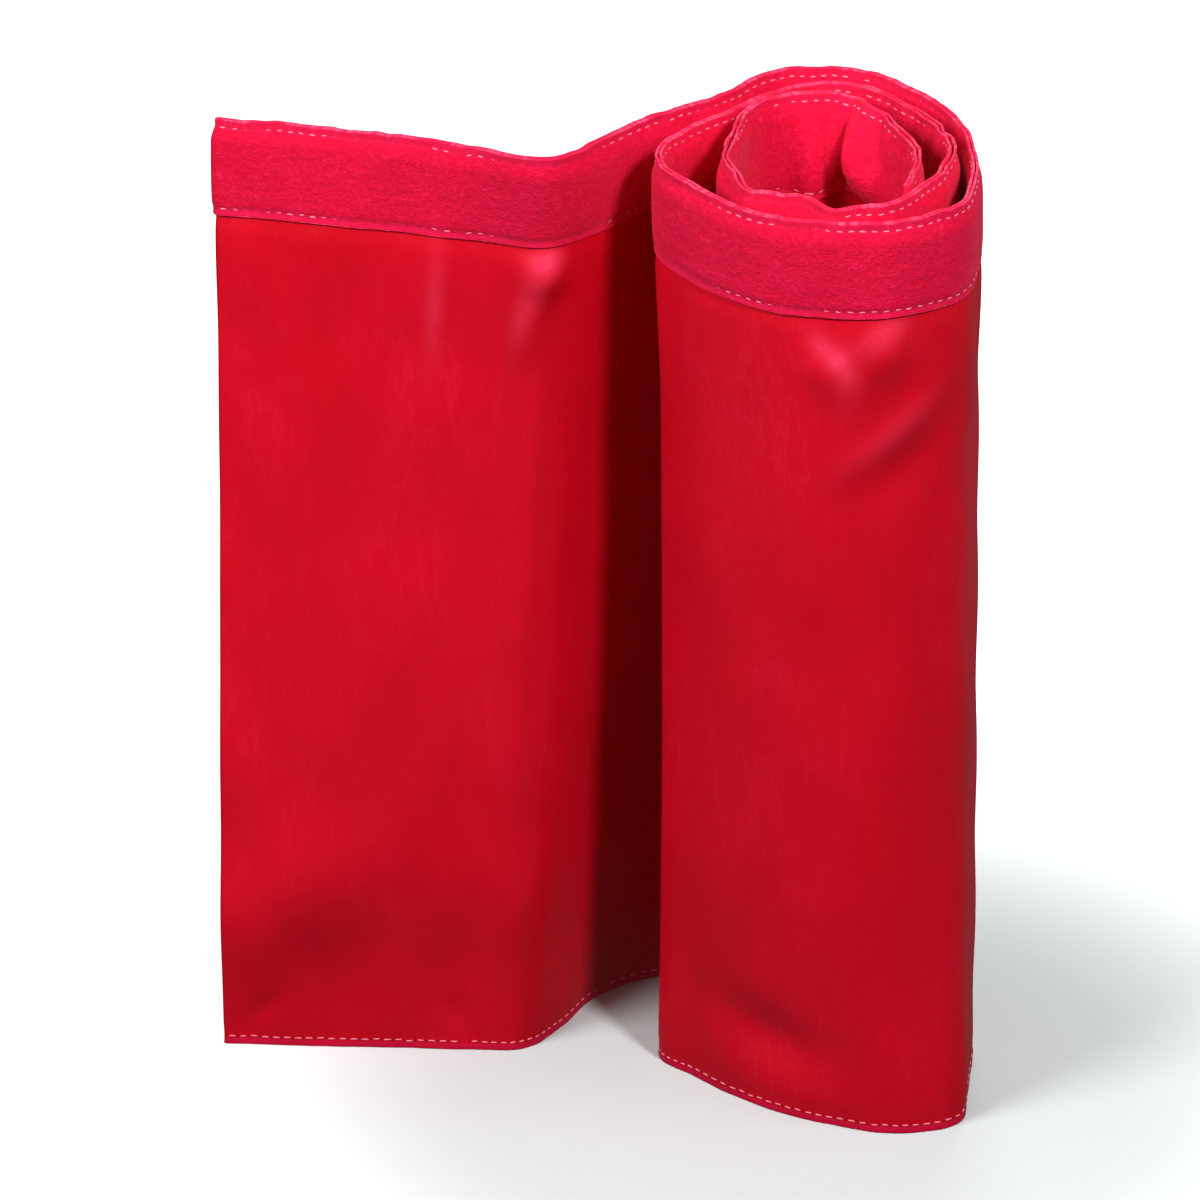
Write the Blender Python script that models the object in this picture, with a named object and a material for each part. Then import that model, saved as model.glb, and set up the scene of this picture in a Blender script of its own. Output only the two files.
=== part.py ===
"""Fire blanket: a sewn strip of coated cloth that stands on its long edge, half rolled up.

The blanket is a sandwich: a woven core cloth between two coated skins, with a loop tape
sewn along the upper edge of each face and a hem row along the lower edge. Every sheet
follows one route, seen from above: a short tail, one bend, and two and a half turns of a
loose roll. The route is cut into panels at the lines where the cloth is free to bend, and
each panel's sheets are solids of their own that swing together about an upright line.

Metres, +Z up. +X runs from the tail's free end towards the roll, +Y away from the face
of the tail. The origin is the middle of the plan's box, at the foot of the cloth.
"""

import math
from dataclasses import dataclass

import bmesh
import bpy
import numpy as np
from mathutils import Vector

# The cloth.
HEIGHT = 0.500
SKIN = 0.0006
CORE = 0.0010
TAPE = 0.0016
THREAD = 0.0005
PLY_GAP = 0.0003
TAPE_WIDTH = 0.050
CORE_INSET = 0.006
INNER_SKIN_LIFT = 0.001
WRAP_RETURN = 0.008

# The sewing: how far each row lies from its edge, and how tall its thread is.
TOP_ROW_INSET = 0.005
TAPE_ROW_INSET = 0.004
HEM_ROW_INSET = 0.0045
THREAD_HEIGHT = 0.0008

# The roll. Angles are in degrees, clockwise from the line where the tail leaves it.
ROLL_RADIUS = 0.0782
TAIL_BEARING = 112.0
WOUND_ANGLE = 874.0
TURN_CLEARANCE = 0.0013
# Each wave of the roll's outline: how many lobes, how deep, and where one lobe points.
OUTLINE_WAVES = ((1, 0.0025, -45.0), (2, 0.0045, -68.0), (3, 0.0020, -50.0))
# How far the cloth lies inside a tight winding, at angles wound so far.
SLACK = (
    (0, -0.0015),
    (82, -0.0030),
    (182, -0.0055),
    (282, -0.0050),
    (327, 0.0050),
    (382, 0.0050),
    (452, -0.0010),
    (502, 0.0040),
    (592, 0.0030),
    (672, 0.0070),
    (742, 0.0090),
    (812, 0.0080),
    (874, 0.0050),
)

# The tail, outwards from the roll: how far each run turns to the left, and its length.
NEAR_RUN = (22.0, 0.121)
BEND_RUN = (-57.0, 0.024)
MID_RUN = (2.0, 0.066)
END_RUN = (0.0, 0.078)

# Where the cloth is free to bend, and the largest angle that each bend takes.
WRAP_PEEL_ANGLE = 72.0
CORE_FLAP_ANGLE = 786.0
BEND_LIMITS = {
    "wrap_peel": 35.0,
    "core_flap_swing": 40.0,
    "tail_root_swing": 45.0,
    "tail_bend_swing": 50.0,
    "tail_end_swing": 45.0,
}
HINGE_GAP = 0.0003

# How finely the route is read, and how far a solid may turn between two of its corners.
ROUTE_STEP = 0.0005
CORNER_TURN = 9.0
CORNER_SPACING = 0.030
WRAP_CORNERS = 6

# Each ply's reach from the middle of the cloth, worked out from the plies inside it.
CORE_FACE = CORE / 2
SKIN_BACK = CORE_FACE + PLY_GAP
SKIN_FACE = SKIN_BACK + SKIN
TAPE_BACK = SKIN_FACE + PLY_GAP
TAPE_FACE = TAPE_BACK + TAPE
ROW_BACK = TAPE_FACE + PLY_GAP
ROW_FACE = ROW_BACK + THREAD
HEM_BACK = SKIN_FACE + PLY_GAP
HEM_FACE = HEM_BACK + THREAD
TURN_PITCH = 2 * ROW_FACE + TURN_CLEARANCE


@dataclass(frozen=True)
class Panel:
    """A stretch of the blanket between two bends, and the bend that it swings on."""

    name: str
    parent: str
    hinge: str
    start: float
    end: float


def smooth_value(stations, at):
    """Read a smooth curve through (place, value) stations at one place."""
    places = [place for place, _ in stations]
    values = [value for _, value in stations]
    slopes = np.gradient(values, places)
    index = min(max(int(np.searchsorted(places, at)) - 1, 0), len(places) - 2)
    span = places[index + 1] - places[index]
    t = (at - places[index]) / span
    rise = values[index] * (2 * t**3 - 3 * t**2 + 1)
    rise += values[index + 1] * (3 * t**2 - 2 * t**3)
    rise += slopes[index] * span * (t**3 - 2 * t**2 + t)
    return rise + slopes[index + 1] * span * (t**3 - t**2)


def roll_point(wound):
    """Give the middle of the cloth in plan, wound so many degrees into the roll."""
    bearing = math.radians(TAIL_BEARING - wound)
    radius = ROLL_RADIUS - TURN_PITCH * wound / 360 - smooth_value(SLACK, wound)
    for lobes, depth, pointing in OUTLINE_WAVES:
        radius += depth * math.cos(lobes * (bearing - math.radians(pointing)))
    return np.array((radius * math.cos(bearing), radius * math.sin(bearing)))


def tail_points():
    """List the tail's points in plan, from the roll outwards, on arcs that join smoothly."""
    point = roll_point(0.0)
    leaving = point - roll_point(1.0)
    heading = math.atan2(leaving[1], leaving[0])
    points = [point]
    for turn, length in (NEAR_RUN, BEND_RUN, MID_RUN, END_RUN):
        steps = round(length / ROUTE_STEP)
        for _ in range(steps):
            heading += math.radians(turn) / steps
            point = point + length / steps * np.array((math.cos(heading), math.sin(heading)))
            points.append(point)
    return points


def centred_route():
    """Lay the whole route from the tail's free end inwards, its plan box centred."""
    wound = np.arange(1.0, WOUND_ANGLE, 0.5)
    roll = [roll_point(angle) for angle in wound] + [roll_point(WOUND_ANGLE)]
    points = np.array(tail_points()[::-1] + roll)
    return points - (points.min(axis=0) + points.max(axis=0)) / 2


ROUTE = centred_route()
RUN = np.concatenate(([0.0], np.cumsum(np.linalg.norm(np.diff(ROUTE, axis=0), axis=1))))
HEADING = np.unwrap(np.arctan2(np.gradient(ROUTE[:, 1], RUN), np.gradient(ROUTE[:, 0], RUN)))
CLOTH_LENGTH = float(RUN[-1])
TAIL_LENGTH = sum(length for _, length in (NEAR_RUN, BEND_RUN, MID_RUN, END_RUN))


def place(along):
    """Give the route's point and its unit normal, to the left of the way inwards."""
    point = Vector((np.interp(along, RUN, ROUTE[:, 0]), np.interp(along, RUN, ROUTE[:, 1]), 0))
    heading = float(np.interp(along, RUN, HEADING))
    return point, Vector((-math.sin(heading), math.cos(heading), 0))


def along_at_angle(wound):
    """Give the distance along the route at an angle wound into the roll."""
    share = wound / WOUND_ANGLE
    first = len(tail_points()) - 1
    return float(np.interp(first + share * (len(RUN) - 1 - first), range(len(RUN)), RUN))


END_SWING_AT = END_RUN[1]
BEND_SWING_AT = END_RUN[1] + MID_RUN[1] + BEND_RUN[1] / 2
ROOT_SWING_AT = TAIL_LENGTH
PEEL_AT = along_at_angle(WRAP_PEEL_ANGLE)
FLAP_AT = along_at_angle(CORE_FLAP_ANGLE)

PANELS = (
    Panel("roll", "", "", PEEL_AT, FLAP_AT),
    Panel("core_flap", "roll", "core_flap_swing", FLAP_AT, CLOTH_LENGTH),
    Panel("wrap_back", "roll", "wrap_peel", ROOT_SWING_AT, PEEL_AT),
    Panel("tail_near", "wrap_back", "tail_root_swing", BEND_SWING_AT, ROOT_SWING_AT),
    Panel("tail_mid", "tail_near", "tail_bend_swing", END_SWING_AT, BEND_SWING_AT),
    Panel("tail_end", "tail_mid", "tail_end_swing", 0.0, END_SWING_AT),
)
HINGE_PLACES = {
    "wrap_peel": PEEL_AT,
    "core_flap_swing": FLAP_AT,
    "tail_root_swing": ROOT_SWING_AT,
    "tail_bend_swing": BEND_SWING_AT,
    "tail_end_swing": END_SWING_AT,
}


def set_back(along, reach):
    """Say how far a ply stops short of a bend, so that its ends clear at full swing."""
    for hinge, hinge_place in HINGE_PLACES.items():
        if abs(hinge_place - along) < ROUTE_STEP:
            return reach * math.tan(math.radians(BEND_LIMITS[hinge] / 2)) + HINGE_GAP / 2
    return 0.0


def corners(start, end):
    """List the places of a ply's corners between two ends, closer where the route bends."""
    places = [start]
    for along in np.arange(start, end, ROUTE_STEP):
        turned = abs(np.interp(along, RUN, HEADING) - np.interp(places[-1], RUN, HEADING))
        if math.degrees(turned) > CORNER_TURN or along - places[-1] > CORNER_SPACING:
            places.append(float(along))
    if end - places[-1] < 2 * ROUTE_STEP and len(places) > 1:
        places.pop()
    return places + [end]


def wrap(along, outward, side):
    """Turn a ply round the end of the cloth and back along its other face."""
    point, normal = place(along)
    away = Vector((normal.y, -normal.x, 0)) * outward
    sections = []
    for step in range(1, WRAP_CORNERS):
        angle = math.pi * step / WRAP_CORNERS
        sections.append((point, side * normal * math.cos(angle) + away * math.sin(angle)))
    for back in (0.0, WRAP_RETURN):
        point, normal = place(along - outward * back)
        sections.append((point, -side * normal))
    return sections


def ply_sections(panel, reach, side, wraps):
    """List a ply's (point, normal) sections along one panel, on one side of the cloth.

    The inner plies wrap the tail's free end and the outer plies the end inside the roll,
    and the plies on the other side stop where they meet that wrap.
    """
    start = panel.start + set_back(panel.start, reach)
    end = panel.end - set_back(panel.end, reach)
    at_tail = wraps and panel.start == 0.0
    at_core = wraps and panel.end == CLOTH_LENGTH
    if at_tail and side > 0:
        start += WRAP_RETURN + PLY_GAP
    if at_core and side < 0:
        end -= WRAP_RETURN + PLY_GAP
    sections = [(point, side * normal) for point, normal in map(place, corners(start, end))]
    if at_tail and side < 0:
        sections = wrap(start, -1, side)[::-1] + sections
    if at_core and side > 0:
        sections = sections + wrap(end, 1, side)
    return sections


def upright_strip(name, sections, reaches, levels, pivot, material):
    """Raise one ply from its plan: a ladder of quads, extruded from its foot to its top."""
    inner, outer = reaches
    foot, top = levels
    mesh = bmesh.new()
    rungs = []
    for point, normal in sections:
        rung = [point + normal * inner - pivot, point + normal * outer - pivot]
        rungs.append([mesh.verts.new((corner.x, corner.y, foot)) for corner in rung])
    for (a, b), (c, d) in zip(rungs, rungs[1:]):
        mesh.faces.new((a, b, d, c))
    raised = bmesh.ops.extrude_face_region(mesh, geom=mesh.faces[:])
    moved = [item for item in raised["geom"] if isinstance(item, bmesh.types.BMVert)]
    bmesh.ops.translate(mesh, verts=moved, vec=(0, 0, top - foot))
    bmesh.ops.recalc_face_normals(mesh, faces=mesh.faces[:])
    data = bpy.data.meshes.new(name)
    mesh.to_mesh(data)
    mesh.free()
    data.materials.append(material)
    data.shade_smooth()
    data.set_sharp_from_angle(angle=math.radians(35))
    node = bpy.data.objects.new(name, data)
    bpy.context.collection.objects.link(node)
    return node


def finish(name, colour, roughness):
    """Make one plain material."""
    material = bpy.data.materials.new(name)
    material.use_nodes = True
    shader = material.node_tree.nodes["Principled BSDF"]
    shader.inputs["Base Color"].default_value = (*colour, 1.0)
    shader.inputs["Roughness"].default_value = roughness
    shader.inputs["Metallic"].default_value = 0.0
    return material


def add_panel(panel, pivots, finishes):
    """Build one panel's plies and sewing rows, hung on the empty at its bend."""
    pivot_place = place(HINGE_PLACES[panel.hinge])[0] if panel.hinge else Vector()
    pivot = bpy.data.objects.new(f"{panel.name}_pivot", None)
    bpy.context.collection.objects.link(pivot)
    parent_place = pivots[panel.parent][1] if panel.parent else Vector()
    pivot.parent = pivots[panel.parent][0] if panel.parent else None
    pivot.location = pivot_place - parent_place
    pivots[panel.name] = (pivot, pivot_place)

    tape_foot = HEIGHT - TAPE_WIDTH
    outer_height = (0.0, HEIGHT)
    inner_height = (INNER_SKIN_LIFT, HEIGHT)
    taped = (tape_foot, HEIGHT)
    plies = (
        ("core_cloth", -CORE_FACE, CORE_FACE, 1, (CORE_INSET, HEIGHT - CORE_INSET), False),
        ("outer_skin", SKIN_BACK, SKIN_FACE, 1, outer_height, True),
        ("inner_skin", SKIN_BACK, SKIN_FACE, -1, inner_height, True),
        ("outer_tape", TAPE_BACK, TAPE_FACE, 1, taped, True),
        ("inner_tape", TAPE_BACK, TAPE_FACE, -1, taped, True),
    )
    rows = (
        ("top_row_thread", ROW_BACK, ROW_FACE, HEIGHT - TOP_ROW_INSET),
        ("tape_row_thread", ROW_BACK, ROW_FACE, tape_foot + TAPE_ROW_INSET),
        ("hem_row_thread", HEM_BACK, HEM_FACE, HEM_ROW_INSET),
    )
    for part, back, face, side, levels, wraps in plies:
        sections = ply_sections(panel, face, side, wraps)
        name = f"{panel.name}_{part}"
        node = upright_strip(name, sections, (back, face), levels, pivot_place, finishes[part])
        node.parent = pivot
    for part, back, face, height in rows:
        levels = (height - THREAD_HEIGHT / 2, height + THREAD_HEIGHT / 2)
        sections = ply_sections(panel, face, 1, False)
        name = f"{panel.name}_{part}"
        node = upright_strip(name, sections, (back, face), levels, pivot_place, finishes["thread"])
        node.parent = pivot


def main():
    """Build the blanket in an empty scene."""
    for old in list(bpy.data.objects):
        bpy.data.objects.remove(old)
    skin = finish("coated_skin", (0.58, 0.003, 0.018), 0.38)
    tape = finish("loop_tape", (0.74, 0.008, 0.055), 0.9)
    finishes = {
        "core_cloth": finish("woven_core", (0.70, 0.69, 0.64), 0.95),
        "outer_skin": skin,
        "inner_skin": skin,
        "outer_tape": tape,
        "inner_tape": tape,
        "thread": finish("sewing_thread", (0.90, 0.16, 0.30), 0.7),
    }
    pivots = {}
    for panel in PANELS:
        add_panel(panel, pivots, finishes)


main()
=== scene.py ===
"""Fire blanket: the looks of a sewn strip of coated cloth, stood on edge and half rolled up.

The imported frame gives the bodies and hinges. The cloth here follows the same route in
plan as the frame's plies, and adds what makes it cloth: sheets that lean, buckle and part
at the top edge, brushed loop tape, rows of single stitches, and a coated, woven surface.

Metres, +Z up, +X along the tail towards the roll, +Y away from the tail's face.
"""

from __future__ import annotations

import logging
import math
from dataclasses import dataclass, field
from enum import Enum

import bpy
import numpy as np
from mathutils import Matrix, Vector

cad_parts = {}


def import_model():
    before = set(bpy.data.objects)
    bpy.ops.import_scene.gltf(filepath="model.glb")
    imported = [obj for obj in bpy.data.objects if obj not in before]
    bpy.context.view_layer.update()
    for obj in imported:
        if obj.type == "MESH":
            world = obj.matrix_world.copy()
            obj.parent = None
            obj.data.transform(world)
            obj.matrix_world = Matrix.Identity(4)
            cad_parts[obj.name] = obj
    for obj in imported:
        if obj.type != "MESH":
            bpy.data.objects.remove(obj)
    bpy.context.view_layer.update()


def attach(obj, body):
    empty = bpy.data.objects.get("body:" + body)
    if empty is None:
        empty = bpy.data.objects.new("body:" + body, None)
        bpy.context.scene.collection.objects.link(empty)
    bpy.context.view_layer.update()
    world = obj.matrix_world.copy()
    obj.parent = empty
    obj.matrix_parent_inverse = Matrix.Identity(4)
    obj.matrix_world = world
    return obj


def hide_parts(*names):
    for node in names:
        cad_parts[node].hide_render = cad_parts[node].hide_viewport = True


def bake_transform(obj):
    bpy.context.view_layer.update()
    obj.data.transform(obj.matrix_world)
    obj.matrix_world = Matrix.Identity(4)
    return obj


LOG = logging.getLogger("fire_blanket")
FULL_TURN = 2 * math.pi


class Face(Enum):
    """The two faces of the cloth, named for where they lie on the roll."""

    OUTER = 1
    INNER = -1


# --------------------------------------------------------------------------- sizes


@dataclass(frozen=True)
class ClothSizes:
    """The sewn sandwich's sizes, in metres."""

    height: float = 0.500
    skin: float = 0.0006
    core: float = 0.0010
    tape: float = 0.0018
    selvedge: float = 0.0050
    selvedge_share: float = 0.72
    tape_width: float = 0.050
    skin_back: float = 0.0008
    tape_gap: float = 0.00015
    core_inset: float = 0.014
    skin_inset: float = 0.0105
    wrap_return: float = 0.012
    top_row: float = 0.0040
    tape_row: float = 0.0040
    hem_row: float = 0.0045
    stitch_pitch: float = 0.0055
    stitch_length: float = 0.0041
    thread: float = 0.00075

    @property
    def tape_foot(self) -> float:
        """Height of the tape's lower edge."""
        return self.height - self.tape_width

    @property
    def row_heights(self) -> dict[str, float]:
        """Height of each sewn row."""
        return {
            "top_row": self.height - self.top_row,
            "tape_row": self.tape_foot + self.tape_row,
            "hem_row": self.hem_row,
        }

    def pile(self, height: np.ndarray) -> np.ndarray:
        """Say where the tape carries its loops: 1 in the middle, 0 on its selvedges."""
        low, high = self.tape_foot + self.selvedge, self.height - self.selvedge
        return rise(height, low - 0.0016, low + 0.0016) * rise(-height, -high - 0.0016, 0.0016 - high)


@dataclass(frozen=True)
class RouteSizes:
    """The route in plan: a roll by angle and radius, and a tail by turns and lengths."""

    roll_radius: float = 0.0782
    turn_pitch: float = 0.0095
    tail_bearing: float = 112.0
    wound_angle: float = 874.0
    waves: tuple[tuple[int, float, float], ...] = (
        (1, 0.0025, -45.0),
        (2, 0.0045, -68.0),
        (3, 0.0020, -50.0),
    )
    slack: tuple[tuple[float, float], ...] = (
        (0, -0.0015),
        (82, -0.0030),
        (182, -0.0055),
        (282, -0.0050),
        (327, 0.0050),
        (382, 0.0050),
        (452, -0.0010),
        (502, 0.0040),
        (592, 0.0030),
        (672, 0.0070),
        (742, 0.0090),
        (812, 0.0080),
        (874, 0.0050),
    )
    tail: tuple[tuple[float, float], ...] = (
        (22.0, 0.121),
        (-57.0, 0.024),
        (2.0, 0.066),
        (0.0, 0.078),
    )
    peel_angle: float = 72.0
    flap_angle: float = 786.0
    step: float = 0.0005


# --------------------------------------------------------------------------- curves


def bump(value: np.ndarray, centre: float, reach: float) -> np.ndarray:
    """Give a smooth hump of height 1 about a centre."""
    return np.exp(-(((value - centre) / reach) ** 2))


def rise(value: np.ndarray, start: float, end: float) -> np.ndarray:
    """Climb smoothly from 0 at start to 1 at end."""
    t = np.clip((value - start) / (end - start), 0.0, 1.0)
    return t * t * (3 - 2 * t)


def smooth_through(stations: tuple[tuple[float, ...], ...], at: np.ndarray) -> list[np.ndarray]:
    """Read smooth curves through stations.

    Args:
        stations: rows of a place and one or more values, in order.
        at: the places to read.

    Returns:
        One array for each value of a row.
    """
    places, *columns = (np.array(column, dtype=float) for column in zip(*stations))
    inside = np.clip(at, places[0], places[-1])
    index = np.clip(np.searchsorted(places, inside) - 1, 0, len(places) - 2)
    span = places[index + 1] - places[index]
    t = (inside - places[index]) / span
    curves = []
    for values in columns:
        slopes = np.gradient(values, places)
        curve = values[index] * (2 * t**3 - 3 * t**2 + 1)
        curve += values[index + 1] * (3 * t**2 - 2 * t**3)
        curve += slopes[index] * span * (t**3 - 2 * t**2 + t)
        curve += slopes[index + 1] * span * (t**3 - t**2)
        curves.append(curve)
    return curves


@dataclass(frozen=True)
class Wander:
    """Smooth random ups and downs along a line, between -1 and 1, the same on every run."""

    seed: int
    pitch: float

    def along(self, place: np.ndarray) -> np.ndarray:
        """Read the line."""
        knots = np.random.default_rng(self.seed).uniform(-1.0, 1.0, 8192)
        steps = np.abs(place + 1.0) / self.pitch
        index = np.minimum(np.floor(steps).astype(int), 8190)
        t = steps - index
        t = t * t * (3 - 2 * t)
        return knots[index] * (1 - t) + knots[index + 1] * t


# --------------------------------------------------------------------------- route


class Route:
    """The middle of the cloth in plan, from the tail's free end to the end inside."""

    def __init__(self, sizes: RouteSizes) -> None:
        """Lay the route out and centre it.

        Args:
            sizes: the route's driving sizes.
        """
        self.sizes = sizes
        wound = np.append(np.arange(1.0, sizes.wound_angle, 0.5), sizes.wound_angle)
        tail = self._tail_points()
        points = np.vstack((tail[::-1], self._roll_points(wound)))
        middle = (points.min(axis=0) + points.max(axis=0)) / 2
        self.points = points - middle
        self.roll_centre = -middle
        steps = np.linalg.norm(np.diff(self.points, axis=0), axis=1)
        self.run = np.concatenate(([0.0], np.cumsum(steps)))
        slopes = [np.gradient(self.points[:, axis], self.run) for axis in (1, 0)]
        self.heading = np.unwrap(np.arctan2(*slopes))
        self.wound = np.concatenate((np.zeros(len(tail)), wound))
        self.length = float(self.run[-1])
        self.tail_length = sum(length for _, length in sizes.tail)

    def _roll_points(self, wound: np.ndarray) -> np.ndarray:
        """Give the roll's points at angles wound, about the roll's own middle."""
        sizes = self.sizes
        bearing = np.radians(sizes.tail_bearing - wound)
        (slack,) = smooth_through(sizes.slack, wound)
        radius = sizes.roll_radius - sizes.turn_pitch * wound / 360 - slack
        for lobes, depth, pointing in sizes.waves:
            radius = radius + depth * np.cos(lobes * (bearing - math.radians(pointing)))
        return np.column_stack((radius * np.cos(bearing), radius * np.sin(bearing)))

    def _tail_points(self) -> np.ndarray:
        """Give the tail's points, from the roll outwards."""
        first, second = self._roll_points(np.array([0.0, 1.0]))
        heading = math.atan2(first[1] - second[1], first[0] - second[0])
        points = [first]
        for turn, length in self.sizes.tail:
            steps = round(length / self.sizes.step)
            for _ in range(steps):
                heading += math.radians(turn) / steps
                ahead = np.array((math.cos(heading), math.sin(heading)))
                points.append(points[-1] + length / steps * ahead)
        return np.array(points)

    def along(self, wound: float) -> float:
        """Give the distance along the route at an angle wound into the roll."""
        first = len(self.wound) - int(np.sum(self.wound > 0))
        return float(np.interp(wound, self.wound[first - 1 :], self.run[first - 1 :]))

    def at(self, along: np.ndarray) -> tuple[np.ndarray, np.ndarray, np.ndarray]:
        """Read the route.

        Args:
            along: distances from the tail's free end.

        Returns:
            Points in plan, unit normals to the left of the way inwards, and headings.
        """
        inside = np.clip(along, 0.0, self.length)
        x = np.interp(inside, self.run, self.points[:, 0])
        y = np.interp(inside, self.run, self.points[:, 1])
        heading = np.interp(inside, self.run, self.heading)
        normal = np.stack((-np.sin(heading), np.cos(heading)), axis=-1)
        return np.stack((x, y), axis=-1), normal, heading

    def angle(self, along: np.ndarray) -> np.ndarray:
        """Give the angle wound into the roll, zero all along the tail."""
        return np.interp(along, self.run, self.wound)


# --------------------------------------------------------------------------- drape


@dataclass(frozen=True)
class Fold:
    """A soft crease or dent pressed into the cloth.

    Attributes:
        along: distance of its middle from the tail's free end.
        height: height of its middle.
        length: how far it reaches along its own line.
        width: how far it reaches across its line.
        slant: the line's angle from upright, in degrees, leaning inwards at the top.
        depth: how far it stands to the left of the route, or to the right if negative.
    """

    along: float
    height: float
    length: float
    width: float
    slant: float
    depth: float

    def push(self, along: np.ndarray, height: np.ndarray) -> np.ndarray:
        """Say how far the fold moves each point along the cloth's normal."""
        turn = math.radians(self.slant)
        across = (along - self.along) * math.cos(turn) - (height - self.height) * math.sin(turn)
        down = (along - self.along) * math.sin(turn) + (height - self.height) * math.cos(turn)
        return self.depth * np.exp(-((across / self.width) ** 2) - (down / self.length) ** 2)


@dataclass
class Drape:
    """How the standing cloth leans, sags and buckles away from its plain route.

    Attributes:
        route: the cloth's middle in plan.
        cloth: the sandwich's sizes.
        folds: creases and dents.
        top_shift: how far the top edge stands from the route in plan, by distance along.
        foot_shift: the same for the foot.
        highlight_spots: painted highlights, pale pink patches where the lights would gleam on the puffs
            under the tape, each with its strength for its depth.
        probe: the step used to find the cloth's own normal.
    """

    route: Route
    cloth: ClothSizes
    folds: tuple[Fold, ...]
    top_shift: tuple[tuple[float, float, float], ...]
    foot_shift: tuple[tuple[float, float, float], ...]
    highlight_spots: tuple[Fold, ...] = ()
    probe: float = 0.0004

    def rubbed(self, along: np.ndarray, height: np.ndarray) -> np.ndarray:
        """Say how strongly each point is painted pale as a highlight, from 0 to 1."""
        pale = sum(highlight_spot.push(along, height) for highlight_spot in self.highlight_spots)
        return np.clip(pale * (1 + 0.25 * Wander(41, 0.004).along(along + height)), 0.0, 1.0)

    def _ruffle(self, along: np.ndarray, height: np.ndarray) -> np.ndarray:
        """Buckle the upper edge, most of all in the inner turns."""
        wound = self.route.angle(along)
        top = rise(height, self.cloth.tape_foot - 0.01, self.cloth.height) ** 1.6
        loose = 0.0004 + 0.0012 * rise(wound, 380.0, 470.0)
        loose = loose * (1 - 0.75 * bump(wound, 560.0, 50.0))
        wave = Wander(11, 0.021).along(along) + 0.5 * Wander(12, 0.0095).along(along)
        return 1.5 * loose * top * wave

    def _sway(self, along: np.ndarray, height: np.ndarray) -> np.ndarray:
        """Give the wide, shallow waves that a coated cloth keeps from being folded."""
        share = height / self.cloth.height
        slow = np.sin(along * FULL_TURN / 0.136 + 1.9 * share + 0.4)
        slow *= 0.0011 * (0.4 + 0.6 * np.sin(share * math.pi))
        quick = np.sin(along * FULL_TURN / 0.063 - 2.6 * share + 2.2)
        quick *= 0.0005 * np.sin(share * math.pi * 2.0 + 0.6) ** 2
        mottle = np.sin(height * FULL_TURN / 0.093 + 3.1 * np.sin(along * FULL_TURN / 0.21))
        mottle *= 0.0004 * np.sin(along * FULL_TURN / 0.087 + 0.7)
        return slow + quick + mottle

    def _lean(self, along: np.ndarray, share: np.ndarray) -> np.ndarray:
        """Carry the top and the foot away from the route, each by its own stations."""
        stiff = 1.0 + rise(along, 0.30, 0.42)
        inside = np.clip(share, 0.0, 1.0)
        top = np.stack(smooth_through(self.top_shift, along), axis=-1)
        foot = np.stack(smooth_through(self.foot_shift, along), axis=-1)
        high, low = inside**stiff, (1 - inside) ** stiff
        carried = top * high[..., None] + foot * low[..., None]
        brim = 0.0085 * bump(along, 0.153, 0.026) * np.clip((share - 0.90) / 0.10, 0.0, 1.1)
        carried[..., 1] -= brim
        return carried

    def middle(self, along: np.ndarray, height: np.ndarray) -> np.ndarray:
        """Give the middle of the cloth.

        Args:
            along: distances from the tail's free end.
            height: heights up the cloth, of the same shape.

        Returns:
            Points, with the three coordinates on the last axis.
        """
        plan, normal, _ = self.route.at(along)
        share = height / self.cloth.height
        push = self._sway(along, height) + self._ruffle(along, height)
        for fold in self.folds:
            push = push + fold.push(along, height)
        plan = plan + normal * push[..., None] + self._lean(along, share)
        wound = self.route.angle(along)
        stand = 0.0055 * rise(wound, 340.0, 640.0) + 0.0020 * bump(wound, 40.0, 60.0)
        edge = 0.0006 * Wander(13, 0.019).along(along) + 0.0004 * Wander(14, 0.0055).along(along)
        raised = stand * share**3 + edge * share**12
        return np.concatenate((plan, (height + raised)[..., None]), axis=-1)

    def frame(self, along: np.ndarray, height: np.ndarray) -> tuple[np.ndarray, np.ndarray]:
        """Give the middle of the cloth and its unit normal, to the left of the route."""
        step = self.probe
        ahead = self.middle(along + step, height) - self.middle(along - step, height)
        above = self.middle(along, height + step) - self.middle(along, height - step)
        normal = np.cross(above, ahead)
        normal /= np.linalg.norm(normal, axis=-1, keepdims=True)
        return self.middle(along, height), normal


# --------------------------------------------------------------------------- plies


@dataclass(frozen=True)
class Stretch:
    """A length of cloth that spans one hinge, or rides on one body.

    Attributes:
        name: what the stretch is called in its pieces' names.
        start: distance of its start from the tail's free end.
        end: distance of its end.
        bodies: the one body it rides on, or the two on either side of its hinge.
        bend: the start and end of the stretch's reach about its hinge, along the route.
        stands_for: the panels whose nodes it replaces.
    """

    name: str
    start: float
    end: float
    bodies: tuple[str, ...]
    bend: tuple[float, float] | None
    stands_for: tuple[str, ...]


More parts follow.
